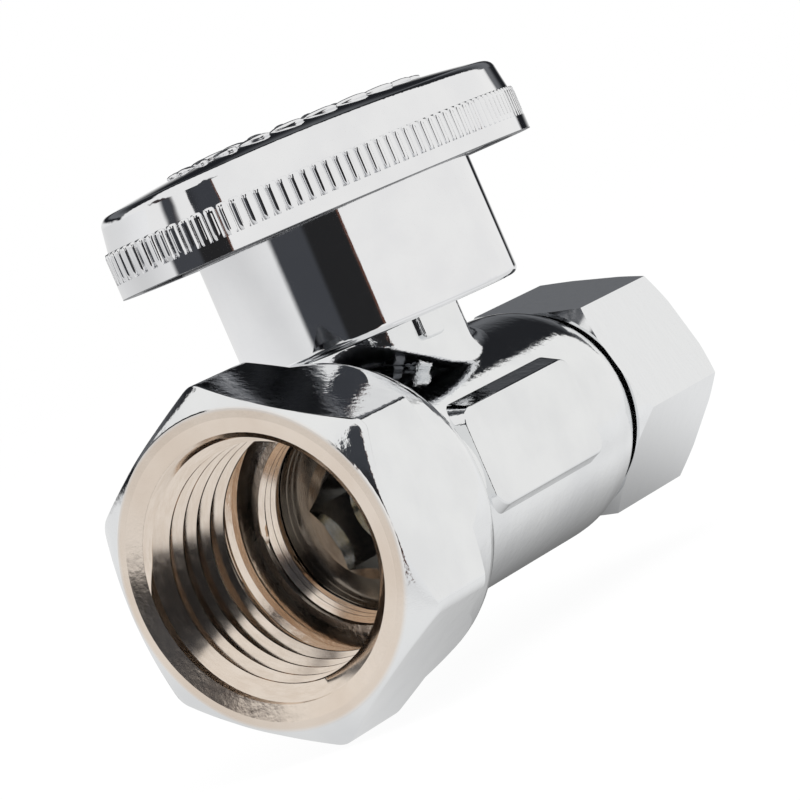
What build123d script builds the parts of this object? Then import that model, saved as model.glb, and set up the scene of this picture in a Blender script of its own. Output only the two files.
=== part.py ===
from build123d import *
import math
import os

# Isolating valve: straight quarter-turn stop with a threaded inlet and a compression outlet.
# Millimetres. The origin is the centre of the inlet face, +X follows the flow, +Z runs up the stem.

# Clearances
running_clearance = 0.06
seat_clearance = 0.08
thread_clearance = 0.05
static_clearance = 0.05
stop_clearance_deg = 2.3

# Allowances for cuts that run past a face, walls that merge and seams that are looked up
overrun = 1.0
wall_overlap = 0.5
seam_tolerance = 0.01

# Stem axis and flow bore
stem_x = 28.5
flow_bore_r = 3.6

# Inlet hexagon and the collar behind it
hex_across_flats = 25.4
hex_corner_round = 1.4
inlet_face_r = 12.4
hex_front_chamfer = 2.1
hex_corner_end_x = 8.2
collar_start_x = 9.3
collar_start_r = 13.15
collar_end_x = 12.6
collar_end_r = 12.65
collar_bulge_x = 15.0
collar_bulge_r = 11.5
collar_foot_x = 16.3
collar_foot_reach = 3.0
collar_foot_round = 1.2

# Inlet mouth and threads, as plain walls at the thread's root
mouth_r = 11.68
mouth_bevel = 0.45
inlet_thread_r = 10.45
inlet_thread_end_x = 12.0
relief_r = 10.05
relief_end_x = 13.2
retainer_thread_r = 8.35
retainer_step_bevel = 0.4

# Barrel and outlet end
barrel_r = 9.8
barrel_round_start_x = 39.8
barrel_end_x = 44.6
barrel_end_r = 8.6
chamber_r = 6.75
seat_pocket_bevel = 0.3
outlet_stub_r = 7.05
outlet_stub_end_x = 53.0
tube_socket_r = 4.85
tube_socket_start_x = 48.5
tube_cone_start_x = 51.75

# Wrench pads on the barrel's sides
pad_face_y = 10.05
pad_start_x = 18.5
pad_end_x = 35.8
pad_height = 8.0
pad_centre_z = 0.4
pad_corner_r = 1.3
pad_draft_deg = 24.0
pad_depth = 1.8
pad_edge_round = 0.3

# Neck, stem bore and stop lug
neck_r = 6.2
neck_top_z = 15.6
neck_foot_round = 2.2
stem_r = 3.1
stem_pocket_top_z = 8.2
lug_angle_deg = -116.8
lug_width = 2.0
lug_root_r = 5.3
lug_outer_r = 7.15
lug_bottom_z = 10.2
lug_top_z = 15.0
lug_corner_round = 0.5
lug_edge_round = 0.3

# Ball, stem drive and seats
ball_r = 6.35
slot_width = 2.35
slot_floor_z = 4.35
blade_width = 5.0
blade_bottom_gap = 0.1
flange_r = 4.3
flange_bottom_z = 6.75
flange_thickness = 0.95
flange_bevel = 0.2
washer_gap = 0.02
ring_cord = 1.2
ring_gap = 0.02
lower_ring_z = 9.7
upper_ring_z = 12.5
ring_groove_width = 1.5
seat_outer_r = 6.6
seat_bore_r = 3.8
seat_face_offset = 3.9
seat_length = 3.0

# Seat retainer, placed from the ball's centre
retainer_ball_distance = 6.1
retainer_length = 6.0
retainer_thread_spare = 0.3
retainer_back_x = stem_x - retainer_ball_distance
retainer_front_x = retainer_back_x - retainer_length
retainer_thread_end_x = retainer_back_x + retainer_thread_spare
retainer_bore_r = 3.9
retainer_bevel = 0.35
socket_across_flats = 9.525
socket_angle_deg = -12.5
socket_depth = 3.6
socket_floor_x = retainer_front_x + socket_depth
socket_lead_in = 0.6

# Handle
handle_half_length = 24.3
handle_half_width = 14.4
handle_end_r = 9.2
rim_bottom_z = 22.3
knurl_bottom_z = 23.5
knurl_top_z = 25.7
dome_edge_z = 28.6
dome_top_z = 30.0
lip_inset = 0.12
knurl_crest_inset = 0.14
knurl_root_inset = 0.5
knurl_pitch = 1.02
knurl_slot = 0.2
knurl_crest_width = 0.42
shoulder_inset = 0.42
shoulder_draft_deg = 9.0
shoulder_round = 0.9
rim_wall = 1.7
rim_ceiling_z = 26.6
skirt_r = 11.6
skirt_inner_r = 9.9
skirt_bottom_z = 12.15
skirt_edge_round = 0.6
skirt_ceiling_z = 26.9
rim_web = 1.4
hub_r = 4.6
hub_bottom_z = 16.4
stop_rib_inner_r = 6.45
stop_rib_width_deg = 11.0
stop_rib_bottom_z = 13.2
spoke_thickness = 1.2
spoke_bottom_z = 19.5

# Spline between stem and handle
spline_count = 14
spline_crest_r = 3.0
spline_root_r = 2.65
spline_crest_share = 0.36
spline_root_share = 0.60
spline_start_z = 16.3
stem_top_z = 23.4
spline_bore_top_z = 24.0

# Compression nut and sleeve
nut_across_flats = 17.4625
nut_angle_deg = -15.0
nut_end_gap = 0.35
nut_length = 13.25
nut_cone_gap = 1.0
nut_back_x = barrel_end_x + nut_end_gap
nut_front_x = nut_back_x + nut_length
nut_chamfer_r = 9.0
nut_chamfer_deg = 35.0
nut_cone_start_x = outlet_stub_end_x + nut_cone_gap
nut_bore_bevel = 0.3
tube_hole_r = 4.92
sleeve_bore_r = 4.87
sleeve_outer_r = 6.0
sleeve_edge = 0.1
sleeve_cone_gap = 0.12


def revolved(points):
    """Solid turned about the flow axis from a profile of (x, r) points."""
    outline = Polyline(*[(x, 0, r) for x, r in points], close=True)
    return revolve(make_face(outline), axis=Axis.X)


def flow_cylinder(radius, start_x, end_x):
    """Round bar along the flow axis."""
    return Plane.YZ.offset(start_x) * extrude(Circle(radius), end_x - start_x)


def stem_cylinder(radius, bottom_z, top_z):
    """Round bar along the stem axis."""
    return Pos(stem_x, 0, bottom_z) * extrude(Circle(radius), top_z - bottom_z)


def hexagon_bar(across_flats, start_x, end_x, angle_deg, corner_round=0):
    """Hexagonal bar along the flow, its first corner turned from straight up towards -Y."""
    corner_r = across_flats / math.sqrt(3)
    corners = []
    for k in range(6):
        angle = math.radians(angle_deg + 60 * k)
        corners.append((0, -corner_r * math.sin(angle), corner_r * math.cos(angle)))
    section = make_face(Polyline(*corners, close=True))
    bar = Pos(start_x, 0, 0) * extrude(section, end_x - start_x, dir=(1, 0, 0))
    if corner_round:
        bar = fillet(bar.edges().filter_by(Axis.X), corner_round)
    return bar


def ball_solid(radius):
    """Sphere on the crossing of the two axes, its poles on the flow axis."""
    return Pos(stem_x, 0, 0) * Rot(0, 90, 0) * Sphere(radius)


def polar(centre_x, centre_y, radius, angle):
    """Point of a circle at an angle."""
    return (centre_x + radius * math.cos(angle), centre_y + radius * math.sin(angle))


def oval_arcs(inset):
    """The oval's four arcs drawn in by an inset, each as centre, radius, start angle and sweep."""
    half_length = handle_half_length - inset
    half_width = handle_half_width - inset
    end_r = handle_end_r - inset
    reach = half_length - end_r
    side_r = (reach**2 + half_width**2 - end_r**2) / (2 * (half_width - end_r))
    tilt = math.atan2(reach, side_r - half_width)
    quarter = math.pi / 2
    return [
        (reach, 0, end_r, tilt - quarter, 2 * (quarter - tilt)),
        (0, half_width - side_r, side_r, quarter - tilt, 2 * tilt),
        (-reach, 0, end_r, quarter + tilt, 2 * (quarter - tilt)),
        (0, side_r - half_width, side_r, 3 * quarter - tilt, 2 * tilt),
    ]


def oval(inset, bottom_z):
    """Handle outline of two end arcs and two side arcs, drawn in from the rim by an inset."""
    lines = []
    for centre_x, centre_y, radius, start, sweep in oval_arcs(inset):
        stations = [polar(centre_x, centre_y, radius, start + share * sweep) for share in (0, 0.5, 1)]
        lines.append(ThreePointArc(*stations))
    return Pos(stem_x, 0, bottom_z) * make_face(Wire(lines))


def knurl_outline():
    """Oval of raised, bevelled ribs of equal pitch, with a narrow slot between each two."""
    arcs = oval_arcs(knurl_root_inset)
    around = sum(arc[2] * arc[4] for arc in arcs)

    def place(distance, rise):
        left = distance % around
        for centre_x, centre_y, radius, start, sweep in arcs:
            if left <= radius * sweep:
                break
            left -= radius * sweep
        return polar(centre_x, centre_y, radius + rise, start + left / radius)

    rib_count = round(around / knurl_pitch)
    pitch = around / rib_count
    rise = knurl_root_inset - knurl_crest_inset
    half_rib = (pitch - knurl_slot) / 2
    half_crest = knurl_crest_width / 2
    points = []
    for k in range(rib_count):
        middle = k * pitch
        points.append(place(middle - half_rib, 0))
        points.append(place(middle - half_crest, rise))
        points.append(place(middle + half_crest, rise))
        points.append(place(middle + half_rib, 0))
    return make_face(Polyline(*points, close=True))


def body_form():
    """Outer forging: hexagon and collar, barrel, outlet stub, neck, pads and stop lug."""
    corner_r = hex_across_flats / math.sqrt(3)
    front_profile = [
        (0, 0),
        (0, inlet_face_r),
        (hex_front_chamfer, corner_r),
        (hex_corner_end_x, corner_r),
        (collar_start_x, collar_start_r),
        (collar_end_x, collar_end_r),
        (collar_end_x, 0),
    ]
    collar = revolved(front_profile) & hexagon_bar(hex_across_flats, 0, collar_foot_x, 0, hex_corner_round)
    trunk = barrel_form() + stem_cylinder(neck_r, 0, neck_top_z)
    foot_edges = [e for e in trunk.edges() if is_neck_foot(e)]
    trunk = fillet(foot_edges, neck_foot_round)
    stub = flow_cylinder(outlet_stub_r, barrel_end_x - overrun, outlet_stub_end_x)
    form = collar + trunk + collar_shoulder() + stub
    for side in (-1, 1):
        form += wrench_pad(side)
    return form + stop_lug()


def barrel_form():
    """Round barrel that is turned down to the outlet on a wide round."""
    round_start = (barrel_round_start_x, 0, barrel_r)
    round_end = (barrel_end_x, 0, barrel_end_r)
    lines = [TangentArc(round_start, round_end, tangent=(1, 0, 0))]
    lines += Polyline(round_end, (barrel_end_x, 0, 0), (collar_start_x, 0, 0)).edges()
    lines += Polyline((collar_start_x, 0, 0), (collar_start_x, 0, barrel_r), round_start).edges()
    return revolve(make_face(Wire(lines)), axis=Axis.X)


def is_neck_foot(edge):
    """True for the seam between the neck and the top of the barrel."""
    middle = edge.center()
    beside_neck = abs(middle.X - stem_x) < neck_r + seam_tolerance
    on_barrel = neck_foot_round < middle.Z < barrel_r + overrun
    return beside_neck and on_barrel and edge.geom_type != GeomType.LINE


def collar_shoulder():
    """Rounded step from the collar down to the barrel, with a small hollow at its foot."""
    start = (collar_end_x, 0, collar_end_r)
    bulge = (collar_bulge_x, 0, collar_bulge_r)
    foot = (collar_foot_x, 0, barrel_r)
    hollow_start = (collar_foot_x + collar_foot_reach, 0, barrel_r)
    inner_end = (collar_foot_x + collar_foot_reach, 0, 0)
    inner_start = (collar_end_x, 0, 0)
    lines = [ThreePointArc(start, bulge, foot)]
    lines += Polyline(foot, hollow_start, inner_end, inner_start, start).edges()
    shoulder = revolve(make_face(Wire(lines)), axis=Axis.X)
    foot_edges = [e for e in shoulder.edges() if abs(e.center().X - collar_foot_x) < seam_tolerance]
    return fillet(foot_edges, collar_foot_round)


def wrench_pad(side):
    """Flat pad standing out of the barrel's side, with drafted walls and rounded corners."""
    length = pad_end_x - pad_start_x
    face = RectangleRounded(length, pad_height, pad_corner_r)
    pad = extrude(face, pad_depth, taper=-pad_draft_deg)
    pad = fillet(pad.edges().group_by(Axis.Z)[0], pad_edge_round)
    centre = (pad_start_x + length / 2, side * pad_face_y, pad_centre_z)
    return Plane(origin=centre, x_dir=(1, 0, 0), z_dir=(0, -side, 0)) * pad


def stop_lug():
    """Lug on the neck that the handle's ribs meet at the two ends of the quarter turn."""
    face = RectangleRounded(lug_width, lug_top_z - lug_bottom_z, lug_corner_round)
    lug = extrude(face, lug_outer_r - lug_root_r)
    lug = fillet(lug.edges().group_by(Axis.Z)[-1], lug_edge_round)
    angle = math.radians(lug_angle_deg)
    out = Vector(math.cos(angle), math.sin(angle), 0)
    start = Vector(stem_x, 0, (lug_bottom_z + lug_top_z) / 2) + out * lug_root_r
    return Plane(origin=start, x_dir=(-out.Y, out.X, 0), z_dir=out) * lug


def body_hollow():
    """Inlet thread, retainer thread, ball chamber, outlet port, tube socket and stem bore."""
    seat_front = stem_x + seat_face_offset
    seat_back = seat_front + seat_length
    seat_pocket_r = seat_outer_r + static_clearance
    cone_end_r = tube_socket_r + outlet_stub_end_x - tube_cone_start_x
    inside = [
        (-overrun, 0),
        (-overrun, mouth_r),
        (0, mouth_r),
        (mouth_bevel, inlet_thread_r),
        (inlet_thread_end_x, inlet_thread_r),
        (inlet_thread_end_x + inlet_thread_r - relief_r, relief_r),
        (relief_end_x, relief_r),
        (relief_end_x + retainer_step_bevel, retainer_thread_r),
        (retainer_thread_end_x, retainer_thread_r),
        (retainer_thread_end_x, chamber_r),
        (seat_front, chamber_r),
        (seat_front + seat_pocket_bevel, seat_pocket_r),
        (seat_back, seat_pocket_r),
        (seat_back, flow_bore_r),
        (tube_socket_start_x, flow_bore_r),
        (tube_socket_start_x, tube_socket_r),
        (tube_cone_start_x, tube_socket_r),
        (outlet_stub_end_x, cone_end_r),
        (outlet_stub_end_x + overrun, cone_end_r),
        (outlet_stub_end_x + overrun, 0),
    ]
    stem_bore = stem_cylinder(stem_r + running_clearance, 0, neck_top_z + overrun)
    pocket = stem_cylinder(flange_r + 2 * running_clearance, 0, stem_pocket_top_z)
    return revolved(inside) + stem_bore + pocket


def valve_body():
    return body_form() - body_hollow()


def seat_retainer():
    """Threaded ring with a hexagon socket that holds the inlet seat against the ball."""
    outer_r = retainer_thread_r - thread_clearance
    socket_corner_r = socket_across_flats / math.sqrt(3)
    before = retainer_front_x - overrun
    beyond = retainer_back_x + overrun
    profile = [
        (retainer_front_x, 0),
        (retainer_front_x, outer_r - retainer_bevel),
        (retainer_front_x + retainer_bevel, outer_r),
        (retainer_back_x - retainer_bevel, outer_r),
        (retainer_back_x, outer_r - retainer_bevel),
        (retainer_back_x, 0),
    ]
    lead_in = [
        (before, 0),
        (before, socket_corner_r + overrun),
        (retainer_front_x + socket_lead_in, socket_corner_r - socket_lead_in),
        (retainer_front_x + socket_lead_in, 0),
    ]
    ring = revolved(profile) - revolved(lead_in)
    ring -= hexagon_bar(socket_across_flats, before, socket_floor_x, socket_angle_deg)
    ring -= flow_cylinder(retainer_bore_r, before, beyond)
    ring -= flow_cylinder(seat_outer_r + static_clearance, stem_x - seat_face_offset - seat_length, beyond)
    return ring


def seat_ring(side):
    """Soft seat: side -1 is the inlet's, side +1 the outlet's."""
    inner_x = stem_x + side * seat_face_offset
    outer_x = inner_x + side * seat_length
    start_x = min(inner_x, outer_x)
    ring = flow_cylinder(seat_outer_r, start_x, start_x + seat_length)
    ring -= flow_cylinder(seat_bore_r, start_x - overrun, start_x + seat_length + overrun)
    return ring - ball_solid(ball_r + seat_clearance)


def ball():
    """Bored ball with the drive slot for the stem's blade across its top."""
    reach = ball_r + overrun
    bored = ball_solid(ball_r) - flow_cylinder(flow_bore_r, stem_x - reach, stem_x + reach)
    slot = Pos(stem_x, 0, slot_floor_z + ball_r / 2) * Box(slot_width, 2 * reach, ball_r)
    return bored - slot


def spline_section(shrink):
    """Splined cross-section of the stem's head, drawn in by a clearance."""
    crest = spline_crest_r - shrink
    root = spline_root_r - shrink
    step = 2 * math.pi / spline_count
    crest_half = spline_crest_share / 2
    root_half = spline_root_share / 2
    stations = ((-root_half, root), (-crest_half, crest), (crest_half, crest), (root_half, root))
    points = []
    for k in range(spline_count):
        points += [polar(0, 0, radius, (k + share) * step) for share, radius in stations]
    return make_face(Polyline(*points, close=True))


def stem():
    """Turned stem: drive blade, thrust flange, two ring grooves and a splined head."""
    flange_top_z = flange_bottom_z + flange_thickness
    flange = stem_cylinder(flange_r, flange_bottom_z, flange_top_z)
    flange = chamfer(flange.edges().group_by(Axis.Z)[0], flange_bevel)
    shaft = stem_cylinder(stem_r, flange_top_z, spline_start_z)
    blade_bottom_z = slot_floor_z + blade_bottom_gap
    blade_height = flange_top_z - blade_bottom_z
    blade = extrude(Rectangle(slot_width - 2 * seat_clearance, blade_width), blade_height)
    head = extrude(spline_section(static_clearance), stem_top_z - spline_start_z)
    turned = flange + shaft + Pos(stem_x, 0, blade_bottom_z) * blade + Pos(stem_x, 0, spline_start_z) * head
    groove_r = stem_r - ring_cord
    for ring_z in (lower_ring_z, upper_ring_z):
        low = ring_z - ring_groove_width / 2
        high = ring_z + ring_groove_width / 2
        turned -= stem_cylinder(stem_r + overrun, low, high) - stem_cylinder(groove_r, low, high)
    return turned


def stem_ring(ring_z):
    """Sealing ring in its groove on the stem."""
    centre_r = stem_r - ring_cord / 2 + ring_gap
    return Pos(stem_x, 0, ring_z) * Torus(centre_r, ring_cord / 2)


def stem_thrust_washer():
    """Low-friction washer between the stem's flange and the roof of its pocket."""
    bottom_z = flange_bottom_z + flange_thickness + washer_gap
    top_z = stem_pocket_top_z - washer_gap
    disc = stem_cylinder(flange_r, bottom_z, top_z)
    return disc - stem_cylinder(stem_r + running_clearance, bottom_z - overrun, top_z + overrun)


def dome_cutter():
    """Barrel-shaped solid whose crown is the handle's domed top."""
    drop = dome_top_z - dome_edge_z
    reach_x = handle_half_length - shoulder_inset - shoulder_round
    reach_y = handle_half_width - shoulder_inset - shoulder_round
    long_r = (reach_x**2 + drop**2) / (2 * drop)
    cross_r = (reach_y**2 + drop**2) / (2 * drop)
    half = handle_half_length + overrun
    end_z = dome_top_z - (long_r - math.sqrt(long_r**2 - half**2))
    axis_z = dome_top_z - cross_r
    crown = ThreePointArc((-half, 0, end_z), (0, 0, dome_top_z), (half, 0, end_z))
    sides = Polyline((half, 0, end_z), (half, 0, axis_z), (-half, 0, axis_z), (-half, 0, end_z))
    section = make_face(Wire([crown] + list(sides.edges())))
    barrel = revolve(Pos(0, 0, -axis_z) * section, axis=Axis.X)
    return Pos(stem_x, 0, axis_z) * barrel


def rim_form():
    """Lip, knurled band, shoulder and dome as one solid block."""
    lip = extrude(oval(lip_inset, rim_bottom_z), knurl_bottom_z - rim_bottom_z)
    band = Pos(stem_x, 0, knurl_bottom_z) * extrude(knurl_outline(), knurl_top_z - knurl_bottom_z)
    crown_height = dome_top_z - knurl_top_z + overrun
    shoulder = extrude(oval(shoulder_inset, knurl_top_z), crown_height, taper=shoulder_draft_deg)
    shoulder = shoulder & dome_cutter()
    top_edges = [e for e in shoulder.edges() if e.center().Z > dome_edge_z - overrun]
    shoulder = fillet(top_edges, shoulder_round)
    return lip + band + shoulder


def underside_pockets():
    """The two hollows under the rim's ends, beyond the skirt."""
    start_z = rim_bottom_z - overrun
    hollow = extrude(oval(rim_wall, start_z), rim_ceiling_z - start_z)
    return hollow - stem_cylinder(skirt_r + rim_web, start_z - overrun, rim_ceiling_z + overrun)


def stop_ribs():
    """Two ribs inside the skirt that meet the neck's lug at open and at closed."""
    lug_half_deg = math.degrees(math.asin(lug_width / 2 / lug_outer_r))
    open_edge = lug_angle_deg - lug_half_deg - stop_clearance_deg
    closed_edge = lug_angle_deg + 90 + lug_half_deg + stop_clearance_deg
    root_z = skirt_ceiling_z + wall_overlap
    ring = stem_cylinder(skirt_inner_r + wall_overlap, stop_rib_bottom_z, root_z)
    ring -= stem_cylinder(stop_rib_inner_r, stop_rib_bottom_z - overrun, root_z + overrun)
    ribs = Part()
    for start in (open_edge - stop_rib_width_deg, closed_edge):
        edges = (math.radians(start), math.radians(start + stop_rib_width_deg))
        corners = [(0, 0)] + [polar(0, 0, 2 * skirt_inner_r, angle) for angle in edges]
        wedge = extrude(make_face(Polyline(*corners, close=True)), root_z - stop_rib_bottom_z)
        ribs += ring & Pos(stem_x, 0, stop_rib_bottom_z) * wedge
    return ribs


def handle():
    """Die-cast handle: oval knurled rim, dome and a round skirt with the hub and stop ribs inside."""
    skirt = stem_cylinder(skirt_r, skirt_bottom_z, rim_bottom_z + overrun)
    skirt = fillet(skirt.edges().group_by(Axis.Z)[0], skirt_edge_round)
    shell = rim_form() - underside_pockets() + skirt
    shell -= stem_cylinder(skirt_inner_r, skirt_bottom_z - overrun, skirt_ceiling_z)
    root_z = skirt_ceiling_z + wall_overlap
    shell += stem_cylinder(hub_r, hub_bottom_z, root_z)
    web = extrude(Rectangle(2 * (skirt_inner_r + wall_overlap), spoke_thickness), root_z - spoke_bottom_z)
    for angle in (45, 135):
        shell += Pos(stem_x, 0, spoke_bottom_z) * Rot(0, 0, angle) * web
    shell += stop_ribs()
    bore_start_z = hub_bottom_z - overrun
    bore = extrude(spline_section(0), spline_bore_top_z - bore_start_z)
    return shell - Pos(stem_x, 0, bore_start_z) * bore


def compression_nut():
    """Hexagon nut that presses the sleeve onto the tube."""
    corner_r = nut_across_flats / math.sqrt(3)
    chamfer_x = (corner_r - nut_chamfer_r) * math.tan(math.radians(nut_chamfer_deg))
    bore_r = outlet_stub_r + running_clearance
    outside = [
        (nut_back_x, 0),
        (nut_back_x, nut_chamfer_r),
        (nut_back_x + chamfer_x, corner_r),
        (nut_front_x - chamfer_x, corner_r),
        (nut_front_x, nut_chamfer_r),
        (nut_front_x, 0),
    ]
    inside = [
        (nut_back_x - overrun, 0),
        (nut_back_x - overrun, bore_r + nut_bore_bevel + overrun),
        (nut_back_x + nut_bore_bevel, bore_r),
        (nut_cone_start_x, bore_r),
        (nut_cone_start_x + bore_r - tube_hole_r, tube_hole_r),
        (nut_front_x + overrun, tube_hole_r),
        (nut_front_x + overrun, 0),
    ]
    form = hexagon_bar(nut_across_flats, nut_back_x, nut_front_x, nut_angle_deg) & revolved(outside)
    return form - revolved(inside)


def compression_sleeve():
    """Loose ring with a cone at each end, between the body's mouth and the nut."""
    bore_r = outlet_stub_r + running_clearance
    body_cone_x = tube_cone_start_x + sleeve_cone_gap - tube_socket_r
    nut_cone_x = nut_cone_start_x - sleeve_cone_gap + bore_r
    edge_r = sleeve_bore_r + sleeve_edge
    profile = [
        (body_cone_x + edge_r, sleeve_bore_r),
        (body_cone_x + edge_r, edge_r),
        (body_cone_x + sleeve_outer_r, sleeve_outer_r),
        (nut_cone_x - sleeve_outer_r, sleeve_outer_r),
        (nut_cone_x - edge_r, edge_r),
        (nut_cone_x - edge_r, sleeve_bore_r),
    ]
    return revolved(profile)


nodes = {
    "valve_body": valve_body(),
    "seat_retainer": seat_retainer(),
    "inlet_seat": seat_ring(-1),
    "outlet_seat": seat_ring(1),
    "ball": ball(),
    "stem": stem(),
    "stem_thrust_washer": stem_thrust_washer(),
    "stem_o_ring_lower": stem_ring(lower_ring_z),
    "stem_o_ring_upper": stem_ring(upper_ring_z),
    "handle": handle(),
    "compression_sleeve": compression_sleeve(),
    "compression_nut": compression_nut(),
}

os.makedirs("parts", exist_ok=True)
for node, shape in nodes.items():
    export_step(shape, f"parts/{node}.step")
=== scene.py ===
import math
import bmesh
import bpy
from mathutils import Matrix, Vector


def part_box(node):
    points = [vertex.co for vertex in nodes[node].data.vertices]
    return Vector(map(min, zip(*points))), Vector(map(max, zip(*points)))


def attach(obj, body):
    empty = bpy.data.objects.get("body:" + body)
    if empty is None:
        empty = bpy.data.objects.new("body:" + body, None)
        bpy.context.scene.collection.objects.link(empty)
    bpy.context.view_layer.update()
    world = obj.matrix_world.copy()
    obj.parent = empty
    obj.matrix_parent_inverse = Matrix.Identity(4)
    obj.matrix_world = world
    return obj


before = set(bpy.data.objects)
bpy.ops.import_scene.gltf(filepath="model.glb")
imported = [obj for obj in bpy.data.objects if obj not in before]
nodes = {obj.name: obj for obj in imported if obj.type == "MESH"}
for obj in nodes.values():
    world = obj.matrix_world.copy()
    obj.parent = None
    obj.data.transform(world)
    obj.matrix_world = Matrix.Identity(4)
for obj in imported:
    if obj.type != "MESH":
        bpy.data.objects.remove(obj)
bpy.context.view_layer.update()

MM = 0.001
STEM_X = 28.5 * MM
OUTLET_PITCH = 1.058 * MM

# Hexagon round the inlet, in millimetres, as the solid has it
HEX_ACROSS_FLATS = 25.4
HEX_CORNER_ROUND = 1.4

# Handle, in millimetres from the stem's axis and from the flow axis, as the solid has it
HALF_LENGTH = 24.3
HALF_WIDTH = 14.4
END_R = 9.2
KNURL_ROOT_INSET = 0.5
KNURL_PITCH = 1.02
DOME_TOP = 30.0
DOME_DROP = 1.4
DOME_REACH_X = 22.98
DOME_REACH_Y = 13.08

# Where the nickel shows: the mouth's bevel, the bore and the throat behind it. Each zone fades out
# between two places on the flow axis and between two radii, in millimetres
NICKEL_ZONES = (
    ((0.5, 0.9), (12.1, 12.6)),
    ((13.3, 13.5), (11.8, 12.0)),
    ((16.6, 16.8), (8.8, 9.0)),
)

# Camera: the photograph's angle, worked out from the hexagons, the mouth and the handle's rim
CAMERA_PLACE = (-0.245485, -0.179225, 0.01861)
CAMERA_RIGHT = Vector((0.492192, -0.773607, -0.399097))
CAMERA_DOWN = Vector((-0.248049, 0.314825, -0.916164))
CAMERA_FORWARD = Vector((0.834397, 0.549925, -0.036938))
CAMERA_LENS = 185.972
CAMERA_SENSOR = 36.0

# The bench on which such a valve lies is tilted against the stem: its normal and two axes along it
BENCH_UP = Vector((0.0, -0.4587, 0.8886))
BENCH_AHEAD = Vector((0.8344, 0.4896, 0.2527))
BENCH_RIGHT = Vector((0.5505, -0.7413, -0.3827))
BENCH_DROP = 13.2 * MM
BENCH_MIDDLE = Vector((28.0 * MM, 0.0, 0.0))


def link(obj):
    bpy.context.scene.collection.objects.link(obj)
    return obj


def place_camera():
    data = bpy.data.cameras.new("camera")
    data.lens = CAMERA_LENS
    data.sensor_width = CAMERA_SENSOR
    data.clip_start = 0.01
    data.clip_end = 20.0
    camera = link(bpy.data.objects.new("camera", data))
    turn = Matrix((CAMERA_RIGHT, -CAMERA_DOWN, -CAMERA_FORWARD)).transposed()
    camera.matrix_world = Matrix.Translation(CAMERA_PLACE) @ turn.to_4x4()
    bpy.context.scene.camera = camera


# Node trees
class Nodes:
    """A node tree being wired up, for shaders and for geometry."""

    def __init__(self, tree):
        self.tree = tree
        self.links = tree.links

    def add(self, kind, **values):
        node = self.tree.nodes.new(kind)
        for key, value in values.items():
            setattr(node, key, value)
        return node

    def put(self, socket, value):
        if isinstance(value, bpy.types.NodeSocket):
            self.links.new(value, socket)
        else:
            socket.default_value = value

    def math(self, operation, a, b=0.0):
        node = self.add("ShaderNodeMath", operation=operation)
        for socket, value in zip(node.inputs, (a, b)):
            self.put(socket, value)
        return node.outputs[0]

    def product(self, *factors):
        result = factors[0]
        for factor in factors[1:]:
            result = self.math("MULTIPLY", result, factor)
        return result

    def length(self, a, b):
        """Distance over two sides at right angles."""
        return self.math("SQRT", self.math("ADD", self.product(a, a), self.product(b, b)))

    def split(self, vector):
        node = self.add("ShaderNodeSeparateXYZ")
        self.links.new(vector, node.inputs[0])
        return node.outputs[0], node.outputs[1], node.outputs[2]

    def join(self, x, y, z):
        node = self.add("ShaderNodeCombineXYZ")
        for socket, value in zip(node.inputs, (x, y, z)):
            self.put(socket, value)
        return node.outputs[0]

    def dot(self, vector, axis):
        node = self.add("ShaderNodeVectorMath", operation="DOT_PRODUCT")
        self.links.new(vector, node.inputs[0])
        node.inputs[1].default_value = tuple(axis)
        return node.outputs["Value"]

    def mix(self, factor, a, b):
        node = self.add("ShaderNodeMix", data_type="RGBA")
        self.put(node.inputs[0], factor)
        self.put(node.inputs[6], a)
        self.put(node.inputs[7], b)
        return node.outputs[2]

    def noise(self, scale, detail=3.0, rough=0.5, place=None):
        node = self.add("ShaderNodeTexNoise")
        node.inputs["Scale"].default_value = scale
        node.inputs["Detail"].default_value = detail
        node.inputs["Roughness"].default_value = rough
        if place is not None:
            self.links.new(place, node.inputs["Vector"])
        return node.outputs["Fac"]

    def ramp(self, value, low, high, out_low=0.0, out_high=1.0, smooth=True):
        node = self.add("ShaderNodeMapRange", clamp=True)
        node.interpolation_type = "SMOOTHSTEP" if smooth else "LINEAR"
        self.put(node.inputs[0], value)
        self.put(node.inputs[1], low)
        self.put(node.inputs[2], high)
        self.put(node.inputs[3], out_low)
        self.put(node.inputs[4], out_high)
        return node.outputs[0]

    def below(self, value, low, high):
        """1 up to the low value, 0 from the high one on."""
        return self.ramp(value, low, high, 1.0, 0.0)

    def band(self, value, start, end):
        """1 between a soft start and a soft end, each a pair of values."""
        return self.product(self.ramp(value, *start), self.below(value, *end))

    def blend(self, factor, a, b):
        """Mix of two plain values."""
        node = self.add("ShaderNodeMix", data_type="FLOAT")
        self.put(node.inputs[0], factor)
        self.put(node.inputs[2], a)
        self.put(node.inputs[3], b)
        return node.outputs[0]

    def choose(self, index, values):
        """The value at an index."""
        node = self.add("GeometryNodeIndexSwitch", data_type="FLOAT")
        while len(node.index_switch_items) < len(values):
            node.index_switch_items.new()
        self.put(node.inputs["Index"], index)
        for k, value in enumerate(values):
            node.inputs[k + 1].default_value = value
        return node.outputs[0]

    def grey(self, value):
        """Grey colour from one value."""
        node = self.add("ShaderNodeCombineColor")
        for socket in node.inputs:
            self.put(socket, value)
        return node.outputs[0]

    def bump(self, height, distance, normal=None):
        node = self.add("ShaderNodeBump")
        node.inputs["Distance"].default_value = distance
        self.links.new(height, node.inputs["Height"])
        if normal is not None:
            self.links.new(normal, node.inputs["Normal"])
        return node.outputs["Normal"]


# Finishes
def new_material(name):
    material = bpy.data.materials.new(name)
    material.use_nodes = True
    n = Nodes(material.node_tree)
    shader = material.node_tree.nodes["Principled BSDF"]
    place = n.add("ShaderNodeTexCoord").outputs["Object"]
    return material, n, shader, place


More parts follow.
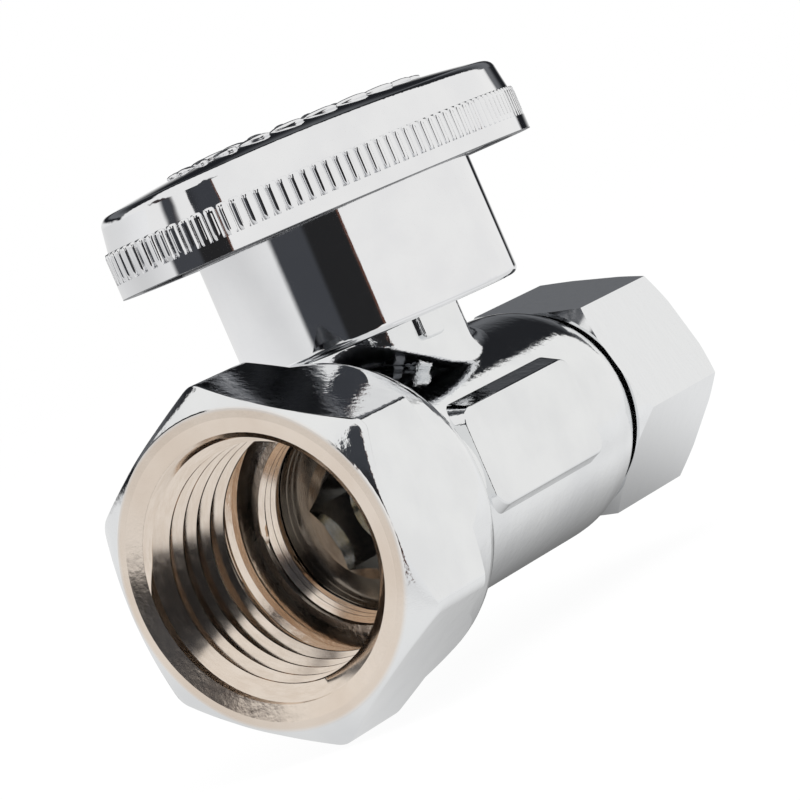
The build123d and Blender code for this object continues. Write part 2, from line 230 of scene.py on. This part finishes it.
def squeezed(n, place, factor):
    """The place squeezed along the flow axis, for grain that runs round it."""
    node = n.add("ShaderNodeMapping")
    node.inputs["Scale"].default_value = (factor, 1.0, 1.0)
    n.links.new(place, node.inputs["Vector"])
    return node.outputs[0]


def specks(n, place, rough_low, rough_high, scale=900.0, detail=5.0):
    """Roughness that varies in fine specks."""
    return n.ramp(n.noise(scale, detail, 0.6, place), 0.35, 0.75, rough_low, rough_high)


def plated_metal(name, light, dark, rough_low, rough_high, waviness, peel):
    """Bright plating: slow waviness of the metal under it, fine orange peel, dull specks."""
    material, n, shader, place = new_material(name)
    shader.inputs["Metallic"].default_value = 1.0
    cloud = n.noise(300.0, 4.0, 0.55, place)
    n.put(shader.inputs["Base Color"], n.mix(n.ramp(cloud, 0.3, 0.7), dark, light))
    n.put(shader.inputs["Roughness"], specks(n, place, rough_low, rough_high))
    wave = n.bump(n.noise(260.0, 2.0, 0.45, place), waviness)
    n.put(shader.inputs["Normal"], n.bump(n.noise(2300.0, 2.5, 0.5, place), peel, wave))
    return material


def cast_handle_painted_shade(name):
    """Bright plating outside; dull in the skirt, in the rim's hollows and on its underside, where painted
    shade darkens the colour.
    """
    material, n, shader, place = new_material(name)
    shader.inputs["Metallic"].default_value = 1.0
    # the hollows lie between two arcs, one a side, struck from beyond the stem's axis
    arc_offset, arc_r = 19.27 * MM, 32.05 * MM
    hollow_reach = 22.6 * MM
    inner_r, outer_r = 10.3 * MM, 11.65 * MM
    rim_z, ceiling_z = 22.3 * MM, 27.1 * MM
    soft = 0.1 * MM
    x, y, z = n.split(place)
    along = n.math("SUBTRACT", x, STEM_X)
    from_stem = n.length(along, y)
    from_arc = n.length(along, n.math("ADD", n.math("ABSOLUTE", y), arc_offset))
    within_sides = n.below(from_arc, arc_r, arc_r + soft)
    within_ends = n.below(n.math("ABSOLUTE", along), hollow_reach, hollow_reach + soft)
    low = n.below(z, ceiling_z, ceiling_z + soft)
    skirt = n.product(n.below(from_stem, inner_r, inner_r + 2.0 * soft), low)
    hollow = n.product(within_sides, within_ends, n.ramp(z, rim_z, rim_z + soft), low)
    beside = n.ramp(from_stem, outer_r, outer_r + soft)
    underside = n.product(beside, n.below(z, rim_z + 0.2 * soft, rim_z + 0.6 * soft))
    inside = n.math("MAXIMUM", skirt, n.math("MAXIMUM", hollow, underside))
    cloud = n.ramp(n.noise(260.0, 4.0, 0.55, place), 0.3, 0.7)
    bright = n.mix(cloud, (0.84, 0.845, 0.86, 1), (0.875, 0.88, 0.89, 1))
    # painted shade: the skirt, the rim's hollows and the underside are coloured near-black
    dull = n.mix(cloud, (0.11, 0.115, 0.125, 1), (0.22, 0.225, 0.24, 1))
    n.put(shader.inputs["Base Color"], n.mix(inside, bright, dull))
    n.put(shader.inputs["Roughness"], n.blend(inside, specks(n, place, 0.03, 0.06), 0.42))
    wave = n.bump(n.noise(150.0, 2.0, 0.45, place), 0.000009)
    n.put(shader.inputs["Normal"], n.bump(n.noise(2300.0, 2.5, 0.5, place), 0.0000005, wave))
    return material


def forged_body(name):
    """Chrome over the forging, and warm nickel where the plating thins inside the inlet."""
    material, n, shader, place = new_material(name)
    shader.inputs["Metallic"].default_value = 1.0
    x, y, z = n.split(place)
    radius = n.length(y, z)
    inside = 0.0
    for along, away in NICKEL_ZONES:
        far = n.below(x, along[0] * MM, along[1] * MM)
        wide = n.below(radius, away[0] * MM, away[1] * MM)
        inside = n.math("MAXIMUM", inside, n.product(far, wide))
    cloud = n.ramp(n.noise(170.0, 3.0, 0.5, place), 0.3, 0.7)
    chrome = n.mix(cloud, (0.80, 0.81, 0.82, 1), (0.86, 0.87, 0.875, 1))
    nickel = n.mix(cloud, (0.75, 0.645, 0.55, 1), (0.82, 0.725, 0.635, 1))
    n.put(shader.inputs["Base Color"], n.mix(inside, chrome, nickel))
    turned = n.ramp(n.noise(700.0, 5.0, 0.6, squeezed(n, place, 8.0)), 0.3, 0.7, 0.13, 0.19)
    n.put(shader.inputs["Roughness"], n.blend(inside, specks(n, place, 0.035, 0.08), turned))
    wave = n.bump(n.noise(260.0, 2.0, 0.5, place), 0.00004)
    peel = n.bump(n.noise(1700.0, 3.0, 0.55, place), 0.000016, wave)
    # the nut's thread on the outlet
    turn = n.math("ADD", n.math("MULTIPLY", x, 2.0 * math.pi / OUTLET_PITCH), n.math("ARCTAN2", y, z))
    on_outlet = n.band(radius, (6.9 * MM, 7.0 * MM), (7.1 * MM, 7.2 * MM))
    wound = n.math("ADD", n.math("MULTIPLY", n.math("SINE", turn), 0.5), 0.5)
    ridge = n.product(wound, n.ramp(x, 45.3 * MM, 45.6 * MM), on_outlet)
    n.put(shader.inputs["Normal"], n.bump(ridge, 0.0004, peel))
    return material


def turned_metal(name, light, dark, rough_low, rough_high, lines):
    """Plating over turned metal: fine lines round the flow axis."""
    material, n, shader, place = new_material(name)
    shader.inputs["Metallic"].default_value = 1.0
    grain = n.noise(500.0, 6.0, 0.65, squeezed(n, place, 9.0))
    n.put(shader.inputs["Base Color"], n.mix(n.ramp(grain, 0.3, 0.7), dark, light))
    n.put(shader.inputs["Roughness"], specks(n, place, rough_low, rough_high, 1200.0, 4.0))
    n.put(shader.inputs["Normal"], n.bump(grain, lines))
    return material


def soft_seat(name):
    """Smooth white fluoropolymer."""
    material, n, shader, place = new_material(name)
    cloud = n.noise(800.0, 3.0, 0.5, place)
    n.put(shader.inputs["Base Color"], n.mix(cloud, (0.86, 0.86, 0.84, 1), (0.93, 0.93, 0.91, 1)))
    shader.inputs["Roughness"].default_value = 0.42
    return material


def ring_rubber(name):
    """Black sealing rubber."""
    material, n, shader, place = new_material(name)
    cloud = n.noise(1500.0, 3.0, 0.5, place)
    n.put(shader.inputs["Base Color"], n.mix(cloud, (0.018, 0.018, 0.018, 1), (0.035, 0.035, 0.035, 1)))
    shader.inputs["Roughness"].default_value = 0.55
    return material


handle_chrome = cast_handle_painted_shade("handle_chrome")
body_chrome = forged_body("body_chrome")
nut_chrome = turned_metal("nut_chrome", (0.86, 0.87, 0.88, 1), (0.84, 0.85, 0.86, 1), 0.07, 0.14, 0.0000004)
thread_nickel = turned_metal(
    "thread_nickel", (0.82, 0.725, 0.635, 1), (0.75, 0.645, 0.55, 1), 0.12, 0.18, 0.000001
)
retainer_nickel = turned_metal(
    "retainer_nickel", (0.33, 0.325, 0.31, 1), (0.26, 0.255, 0.245, 1), 0.10, 0.16, 0.0000005
)
plain_brass = turned_metal("plain_brass", (0.80, 0.64, 0.33, 1), (0.70, 0.54, 0.26, 1), 0.18, 0.3, 0.000002)
ball_chrome = plated_metal(
    "ball_chrome", (0.87, 0.87, 0.88, 1), (0.84, 0.84, 0.855, 1), 0.03, 0.06, 0.000001, 0.0000003
)
seat_white = soft_seat("seat_white")
rubber_black = ring_rubber("rubber_black")

for node, material in (
    ("valve_body", body_chrome),
    ("handle", handle_chrome),
    ("compression_nut", nut_chrome),
    ("seat_retainer", retainer_nickel),
    ("ball", ball_chrome),
    ("compression_sleeve", plain_brass),
    ("stem", plain_brass),
    ("inlet_seat", seat_white),
    ("outlet_seat", seat_white),
    ("stem_thrust_washer", seat_white),
    ("stem_o_ring_lower", rubber_black),
    ("stem_o_ring_upper", rubber_black),
):
    mesh = nodes[node].data
    mesh.materials.clear()
    mesh.materials.append(material)


# Geometry trees
def geometry_tree(name, sizes, material):
    """Tree with named inputs for its sizes; whole numbers are counts, the rest are metres."""
    tree = bpy.data.node_groups.new(name, "GeometryNodeTree")
    tree.interface.new_socket("Geometry", in_out="INPUT", socket_type="NodeSocketGeometry")
    for key, value in sizes.items():
        kind = "NodeSocketInt" if isinstance(value, int) else "NodeSocketFloat"
        tree.interface.new_socket(key, in_out="INPUT", socket_type=kind)
    tree.interface.new_socket("Geometry", in_out="OUTPUT", socket_type="NodeSocketGeometry")
    n = Nodes(tree)
    size = n.add("NodeGroupInput").outputs
    ending = n.add("NodeGroupOutput").inputs[0]
    whole = n.add("GeometryNodeRealizeInstances")
    dressed = n.add("GeometryNodeSetMaterial")
    dressed.inputs["Material"].default_value = material
    n.links.new(whole.outputs[0], dressed.inputs["Geometry"])
    n.links.new(dressed.outputs[0], ending)
    return n, size, whole.inputs[0]


def made_piece(name, n, sizes, points=None):
    """Runs a tree once and keeps the result as a plain mesh with its faces outwards."""
    base = bpy.data.meshes.new(name + "_base")
    if points is not None:
        base.from_pydata([tuple(p[:3]) for p in points], [], [])
        turn = base.attributes.new("turn", "FLOAT", "POINT")
        turn.data.foreach_set("value", [p[3] for p in points])
    source = link(bpy.data.objects.new(name + "_source", base))
    modifier = source.modifiers.new("made", "NODES")
    modifier.node_group = n.tree
    for item in n.tree.interface.items_tree:
        if item.item_type == "SOCKET" and item.in_out == "INPUT" and item.name in sizes:
            modifier[item.identifier] = sizes[item.name]
    graph = bpy.context.evaluated_depsgraph_get()
    mesh = bpy.data.meshes.new_from_object(source.evaluated_get(graph))
    mesh.name = name
    bpy.data.objects.remove(source)
    shape = bmesh.new()
    shape.from_mesh(mesh)
    bmesh.ops.remove_doubles(shape, verts=shape.verts, dist=0.0000005)
    bmesh.ops.recalc_face_normals(shape, faces=shape.faces)
    shape.to_mesh(mesh)
    shape.free()
    mesh.shade_smooth()
    return link(bpy.data.objects.new(name, mesh))


def thread_tree(sizes, material):
    """Right-handed ridge that winds round the inside of a wall, its two ends drawn out to a point."""
    n, size, ending = geometry_tree("thread", sizes, material)
    grid = n.add("GeometryNodeMeshGrid")
    n.put(grid.inputs["Vertices X"], n.math("ADD", size["Steps"], 1.0))
    grid.inputs["Vertices Y"].default_value = 9
    along, across, _ = n.split(n.add("GeometryNodeInputPosition").outputs[0])
    share = n.math("ADD", along, 0.5)
    corner = n.math("ROUND", n.math("MULTIPLY", n.math("ADD", across, 0.5), 8.0))
    turns = n.math("DIVIDE", n.math("SUBTRACT", size["End"], size["Start"]), size["Pitch"])
    angle = n.math("MULTIPLY", n.product(share, turns), 2.0 * math.pi)
    tip = n.band(share, (0.0, 0.01), (0.99, 1.0))
    # corners of the section: foot, flank, crest, flank, foot, and the two that lie inside the wall
    reach = n.choose(corner, (-1.0, -0.5, 0.0, 0.0, 0.5, 1.0, 1.0, -1.0, -1.0))
    land = n.choose(corner, (0.0, -0.5, -1.0, 1.0, 0.5, 0.0, 0.0, 0.0, 0.0))
    rise = n.choose(corner, (0.0, 0.5, 1.0, 1.0, 0.5, 0.0, 0.0, 0.0, 0.0))
    inner = n.choose(corner, (0.0, 0.0, 0.0, 0.0, 0.0, 0.0, 1.0, 1.0, 0.0))
    offset = n.math("ADD", n.product(reach, size["Foot"]), n.product(land, size["Land"]))
    run = n.math("SUBTRACT", size["End"], size["Start"])
    middle = n.math("ADD", size["Start"], n.product(share, run))
    x = n.math("MAXIMUM", n.math("ADD", middle, n.product(offset, tip)), size["Lead from"])
    fade = n.product(tip, n.ramp(middle, size["Full until"], size["End"], 1.0, 0.0, smooth=False))
    crest = n.math("SUBTRACT", size["Crest"], n.product(x, size["Taper"]))
    height = n.product(n.math("SUBTRACT", size["Wall"], crest), rise, fade)
    lead = n.math("MAXIMUM", n.math("SUBTRACT", x, size["Lead from"]), 0.0)
    height = n.math("MINIMUM", height, lead)
    depth = n.product(n.math("SUBTRACT", size["Back"], size["Wall"]), inner, tip)
    radius = n.math("ADD", n.math("SUBTRACT", size["Wall"], height), depth)
    y = n.product(radius, n.math("COSINE", angle))
    z = n.product(radius, n.math("SINE", angle))
    moved = n.add("GeometryNodeSetPosition")
    n.links.new(grid.outputs["Mesh"], moved.inputs["Geometry"])
    n.links.new(n.join(x, y, z), moved.inputs["Position"])
    merged = n.add("GeometryNodeMergeByDistance")
    merged.inputs["Distance"].default_value = 0.000001
    n.links.new(moved.outputs[0], merged.inputs["Geometry"])
    n.links.new(merged.outputs[0], ending)
    return n


def pad_tree(name, sizes, material):
    """A rounded pad on each point of a row, turned to the point's own angle."""
    n, size, ending = geometry_tree(name, sizes, material)
    blank = n.add("GeometryNodeMeshUVSphere")
    n.put(blank.inputs["Segments"], size["Segments"])
    n.put(blank.inputs["Rings"], size["Rings"])
    blank.inputs["Radius"].default_value = 1.0
    sides = []
    position = n.add("GeometryNodeInputPosition").outputs[0]
    for part, half in zip(n.split(position), ("Depth", "Width", "Height")):
        grown = n.math("POWER", n.math("ABSOLUTE", part), size["Squareness"])
        sides.append(n.product(n.math("SIGN", part), grown, size[half]))
    shaped = n.add("GeometryNodeSetPosition")
    n.links.new(blank.outputs["Mesh"], shaped.inputs["Geometry"])
    n.links.new(n.join(*sides), shaped.inputs["Position"])
    turn = n.add("GeometryNodeInputNamedAttribute", data_type="FLOAT")
    turn.inputs["Name"].default_value = "turn"
    turned = n.add("FunctionNodeEulerToRotation")
    n.links.new(n.join(0.0, 0.0, turn.outputs[0]), turned.inputs[0])
    row = n.add("GeometryNodeInstanceOnPoints")
    n.links.new(size["Geometry"], row.inputs["Points"])
    n.links.new(shaped.outputs[0], row.inputs["Instance"])
    n.links.new(turned.outputs[0], row.inputs["Rotation"])
    n.links.new(row.outputs[0], ending)
    return n


# Threads inside the inlet: the taper pipe thread, and the fine one that holds the retainer
FLANK_EDGE = math.radians(25.0)


def inlet_thread():
    sizes = {
        "Start": 0.35 * MM,
        "End": 11.6 * MM,
        "Full until": 9.9 * MM,
        "Pitch": 1.8143 * MM,
        "Wall": 10.47 * MM,
        "Back": 10.9 * MM,
        "Crest": 9.28 * MM,
        "Taper": 0.03125,
        "Land": 0.09 * MM,
        "Foot": 0.86 * MM,
        "Lead from": 0.45 * MM,
        "Steps": 840,
    }
    piece = made_piece("inlet_thread", thread_tree(sizes, thread_nickel), sizes)
    piece.data.set_sharp_from_angle(angle=FLANK_EDGE)
    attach(piece, "body")


def retainer_thread():
    sizes = {
        "Start": 13.9 * MM,
        "End": 16.3 * MM,
        "Full until": 16.2 * MM,
        "Pitch": 0.8 * MM,
        "Wall": 8.37 * MM,
        "Back": 8.6 * MM,
        "Crest": 7.95 * MM,
        "Taper": 0.0,
        "Land": 0.05 * MM,
        "Foot": 0.36 * MM,
        "Lead from": 13.5 * MM,
        "Steps": 400,
    }
    piece = made_piece("retainer_thread", thread_tree(sizes, thread_nickel), sizes)
    piece.data.set_sharp_from_angle(angle=FLANK_EDGE)
    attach(piece, "body")


# Inlet face: the turned bevel that runs from the face out to the hexagon's corners
def hexagon_reach(angle):
    """Distance from the axis to the hexagon with its rounded corners, the first at angle 0."""
    half = HEX_ACROSS_FLATS / 2
    sixth = math.pi / 6
    away = (angle + sixth) % (2 * sixth) - sixth
    flat = sixth - abs(away)
    touch = math.atan2((half - HEX_CORNER_ROUND) * math.tan(sixth), half)
    if flat <= touch:
        return half / math.cos(flat)
    centre = (half - HEX_CORNER_ROUND) / math.cos(sixth)
    return centre * math.cos(away) + math.sqrt(HEX_CORNER_ROUND**2 - (centre * math.sin(away)) ** 2)


def bevel_section(reach):
    """Corners (x, r) of the bevel's section where the hexagon is this far from the axis."""
    face_x, face_r = 0.002, 12.35
    slope = 0.62
    back_x = 2.5
    root_r = face_r - 0.6
    width = reach - face_r
    edge = min(0.12, 0.5 * width)
    flat = width - edge
    return [
        (face_x, root_r),
        (face_x, face_r),
        (slope * flat / 2, face_r + flat / 2),
        (slope * flat, face_r + flat),
        (slope * width + 0.35 * edge, reach - 0.03),
        (slope * width + 1.2 * edge, reach),
        (back_x, reach),
        (back_x, reach - 0.5),
        (back_x, root_r),
    ]


def face_bevel():
    count = 360
    below_flats = 0.004
    points = []
    for k in range(count):
        angle = 2 * math.pi * k / count
        for x, r in bevel_section(hexagon_reach(angle) - below_flats):
            points.append((x * MM, -r * math.sin(angle) * MM, r * math.cos(angle) * MM))
    wide = len(points) // count
    faces = []
    for k in range(count):
        after = (k + 1) % count
        for j in range(wide):
            beside = (j + 1) % wide
            faces.append((k * wide + j, k * wide + beside, after * wide + beside, after * wide + j))
    mesh = bpy.data.meshes.new("face_bevel")
    mesh.from_pydata(points, [], faces)
    shape = bmesh.new()
    shape.from_mesh(mesh)
    bmesh.ops.recalc_face_normals(shape, faces=shape.faces)
    shape.to_mesh(mesh)
    shape.free()
    mesh.materials.append(body_chrome)
    mesh.shade_smooth()
    mesh.set_sharp_from_angle(angle=math.radians(24.0))
    piece = link(bpy.data.objects.new("face_bevel", mesh))
    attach(piece, "body")


# Handle: knurl pads round the rim and a plain leaf border on the dome
def oval_points(inset, count, z):
    """Points evenly along the handle's outline, drawn in by an inset, with their outward angle."""
    half_length = HALF_LENGTH - inset
    half_width = HALF_WIDTH - inset
    end_r = END_R - inset
    reach = half_length - end_r
    side_r = (reach**2 + half_width**2 - end_r**2) / (2 * (half_width - end_r))
    tilt = math.atan2(reach, side_r - half_width)
    quarter = math.pi / 2
    arcs = [
        (reach, 0, end_r, tilt - quarter, 2 * (quarter - tilt)),
        (0, half_width - side_r, side_r, quarter - tilt, 2 * tilt),
        (-reach, 0, end_r, quarter + tilt, 2 * (quarter - tilt)),
        (0, side_r - half_width, side_r, 3 * quarter - tilt, 2 * tilt),
    ]
    around = sum(arc[2] * arc[4] for arc in arcs)
    points = []
    for k in range(count):
        left = k * around / count
        for centre_x, centre_y, radius, start, sweep in arcs:
            if left <= radius * sweep:
                break
            left -= radius * sweep
        angle = start + left / radius
        x = STEM_X + (centre_x + radius * math.cos(angle)) * MM
        y = (centre_y + radius * math.sin(angle)) * MM
        points.append((x, y, z * MM, angle))
    return points, around


def dome_height(x, y):
    """Height of the handle's crown, in millimetres, at a place measured from the stem."""
    long_r = (DOME_REACH_X**2 + DOME_DROP**2) / (2 * DOME_DROP)
    cross_r = (DOME_REACH_Y**2 + DOME_DROP**2) / (2 * DOME_DROP)
    crown = DOME_TOP - (long_r - math.sqrt(long_r**2 - x**2))
    axis = DOME_TOP - cross_r
    return axis + math.sqrt((crown - axis) ** 2 - y**2)


def handle_knurl():
    _, around = oval_points(KNURL_ROOT_INSET, 1, 0)
    points, _ = oval_points(0.45, round(around / KNURL_PITCH), 24.72)
    sizes = {
        "Depth": 0.322 * MM,
        "Width": 0.47 * MM,
        "Height": 1.3 * MM,
        "Squareness": 0.34,
        "Segments": 8,
        "Rings": 7,
    }
    piece = made_piece("handle_knurl", pad_tree("knurl", sizes, handle_chrome), sizes, points)
    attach(piece, "turning")


def dome_border():
    points = []
    leaves = 22
    highest = DOME_TOP - 0.32
    for long_r, cross_r, lean in ((14.2, 6.9, 42.0), (11.9, 4.9, -42.0)):
        for k in range(leaves):
            angle = 2 * math.pi * k / leaves
            x = long_r * math.cos(angle)
            y = cross_r * math.sin(angle)
            outward = math.atan2(y * long_r**2, x * cross_r**2)
            z = min(dome_height(x, y), highest)
            points.append((STEM_X + x * MM, y * MM, z * MM, outward + math.radians(lean)))
    sizes = {
        "Depth": 1.5 * MM,
        "Width": 0.55 * MM,
        "Height": 0.3 * MM,
        "Squareness": 0.85,
        "Segments": 12,
        "Rings": 8,
    }
    piece = made_piece("dome_border", pad_tree("leaf", sizes, handle_chrome), sizes, points)
    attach(piece, "turning")


inlet_thread()
retainer_thread()
face_bevel()
handle_knurl()
dome_border()


# Studio: white surround with the dark gaps that bright plating needs, a bench patch with a painted shadow
# and a pale floor
def studio_world():
    world = bpy.data.worlds.new("studio")
    world.use_nodes = True
    bpy.context.scene.world = world
    n = Nodes(world.node_tree)
    ground = world.node_tree.nodes["Background"]
    direction = n.add("ShaderNodeTexCoord").outputs["Generated"]
    rise = n.dot(direction, BENCH_UP)
    bearing = n.math("ARCTAN2", n.dot(direction, BENCH_RIGHT), n.dot(direction, BENCH_AHEAD))
    # below the horizon the surround darkens downwards: painted shadow of the valve on the table
    ground_painted_shadow = n.grey(n.ramp(rise, -0.6, -0.02, 0.60, 0.90))
    seen = n.mix(n.ramp(rise, -0.03, 0.0), ground_painted_shadow, (0.905, 0.90, 0.89, 1))
    # dark screen beyond the outlet, greyer at mid height
    far_span = n.band(bearing, (-1.25, -1.15), (0.45, 0.50))
    far_rise = n.band(rise, (-0.212, -0.105), (0.555, 0.60))
    far_shade = n.mix(n.ramp(rise, 0.05, 0.36), (0.145, 0.150, 0.160, 1), (0.018, 0.019, 0.022, 1))
    far_shade = n.mix(n.ramp(rise, -0.06, 0.02), (0.014, 0.015, 0.018, 1), far_shade)
    seen = n.mix(n.product(far_span, far_rise), seen, far_shade)
    # dark screen before the inlet: a tall near half with a brown edge, and a low blue-grey one
    left_span = n.band(bearing, (-3.16, -3.14), (-2.22, -2.12))
    top = n.ramp(bearing, -2.72, -2.58, 0.78, 0.24)
    above = n.math("SUBTRACT", rise, top)
    left = n.product(left_span, n.ramp(rise, -0.25, -0.2), n.below(above, 0.0, 0.05))
    near_shade = n.mix(n.ramp(rise, 0.34, 0.5), (0.020, 0.020, 0.021, 1), (0.048, 0.051, 0.059, 1))
    left_shade = n.mix(n.ramp(bearing, -2.68, -2.6), near_shade, (0.055, 0.058, 0.066, 1))
    edge = n.product(n.below(bearing, -3.13, -3.10), left)
    left_shade = n.mix(edge, left_shade, (0.12, 0.055, 0.04, 1))
    seen = n.mix(left, seen, left_shade)
    # small dark card beside them
    card_span = n.band(bearing, (-2.42, -2.3), (-1.85, -1.7))
    card_rise = n.band(rise, (0.22, 0.28), (0.42, 0.48))
    seen = n.mix(n.product(card_span, card_rise), seen, (0.050, 0.040, 0.042, 1))
    path = n.add("ShaderNodeLightPath")
    lit = n.mix(path.outputs["Is Glossy Ray"], (0.85, 0.85, 0.85, 1), seen)
    n.put(ground.inputs["Color"], n.mix(path.outputs["Is Camera Ray"], lit, (1, 1, 1, 1)))


def flat_sheet(name, centre, right, ahead, span, material):
    """Square sheet from its centre and two directions."""
    signs = ((-1, -1), (1, -1), (1, 1), (-1, 1))
    corners = [centre + right * a * span + ahead * b * span for a, b in signs]
    mesh = bpy.data.meshes.new(name)
    mesh.from_pydata([tuple(corner) for corner in corners], [], [(0, 1, 2, 3)])
    mesh.materials.append(material)
    sheet = link(bpy.data.objects.new(name, mesh))
    return sheet


def bench_glow_painted_shadow():
    """The patch of bench round the valve, seen only in the plating: a glowing sheet with a painted shadow,
    darker where the valve rests.
    """
    material = bpy.data.materials.new("bench")
    material.use_nodes = True
    n = Nodes(material.node_tree)
    place = n.add("ShaderNodeTexCoord").outputs["Object"]
    across = BENCH_UP.cross(Vector((1.0, 0.0, 0.0))).normalized()
    side = n.dot(place, across)
    x, _, _ = n.split(place)
    # painted contact shadow: the glow darkens near the valve's line along the bench
    spread = n.math("DIVIDE", side, 16.0 * MM)
    contact_shadow = n.math("POWER", math.e, n.product(spread, spread, -1.0))
    contact_shadow = n.product(contact_shadow, n.band(x, (-12.0 * MM, 39.0 * MM), (55.0 * MM, 85.0 * MM)))
    shade = n.math("SUBTRACT", 0.86, n.product(contact_shadow, 0.68))
    away = n.length(side, n.math("SUBTRACT", x, BENCH_MIDDLE.x))
    glow = n.add("ShaderNodeEmission")
    n.put(glow.inputs["Color"], n.grey(shade))
    clear = n.add("ShaderNodeBsdfTransparent")
    mixed = n.add("ShaderNodeMixShader")
    n.put(mixed.inputs[0], n.ramp(away, 50.0 * MM, 100.0 * MM))
    n.links.new(glow.outputs[0], mixed.inputs[1])
    n.links.new(clear.outputs[0], mixed.inputs[2])
    n.links.new(mixed.outputs[0], material.node_tree.nodes["Material Output"].inputs["Surface"])
    centre = BENCH_MIDDLE - BENCH_UP * BENCH_DROP
    sheet = flat_sheet("bench", centre, Vector((1.0, 0.0, 0.0)), across, 120.0 * MM, material)
    sheet.visible_camera = False
    sheet.visible_diffuse = False
    sheet.visible_transmission = False
    sheet.visible_shadow = False


def pale_floor():
    material = bpy.data.materials.new("floor")
    material.use_nodes = True
    n = Nodes(material.node_tree)
    shader = material.node_tree.nodes["Principled BSDF"]
    shader.inputs["Base Color"].default_value = (0.9, 0.9, 0.9, 1)
    shader.inputs["Roughness"].default_value = 0.9
    glow = n.add("ShaderNodeEmission")
    path = n.add("ShaderNodeLightPath")
    mixed = n.add("ShaderNodeMixShader")
    glow.inputs["Strength"].default_value = 1.03
    n.put(mixed.inputs[0], n.math("MULTIPLY", path.outputs["Is Camera Ray"], 0.9))
    n.links.new(shader.outputs[0], mixed.inputs[1])
    n.links.new(glow.outputs[0], mixed.inputs[2])
    n.links.new(mixed.outputs[0], material.node_tree.nodes["Material Output"].inputs["Surface"])
    low = min(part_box(node)[0].z for node in nodes) - 0.2 * MM
    along, across = Vector((1.0, 0.0, 0.0)), Vector((0.0, 1.0, 0.0))
    floor = flat_sheet("floor", Vector((0.0, 0.0, low)), along, across, 3.0, material)
    floor.visible_glossy = False


def soft_lamp(name, place, target, size, power):
    data = bpy.data.lights.new(name, "AREA")
    data.shape = "SQUARE"
    data.size = size
    data.energy = power
    lamp = link(bpy.data.objects.new(name, data))
    lamp.location = place
    lamp.rotation_mode = "QUATERNION"
    lamp.rotation_quaternion = (Vector(target) - Vector(place)).to_track_quat("-Z", "Y")
    lamp.visible_glossy = False


place_camera()
bpy.context.scene.view_settings.view_transform = "Standard"
studio_world()
bench_glow_painted_shadow()
pale_floor()
soft_lamp("key", (-0.2, -0.35, 0.6), (0.03, 0.0, 0.0), 0.5, 2.0)
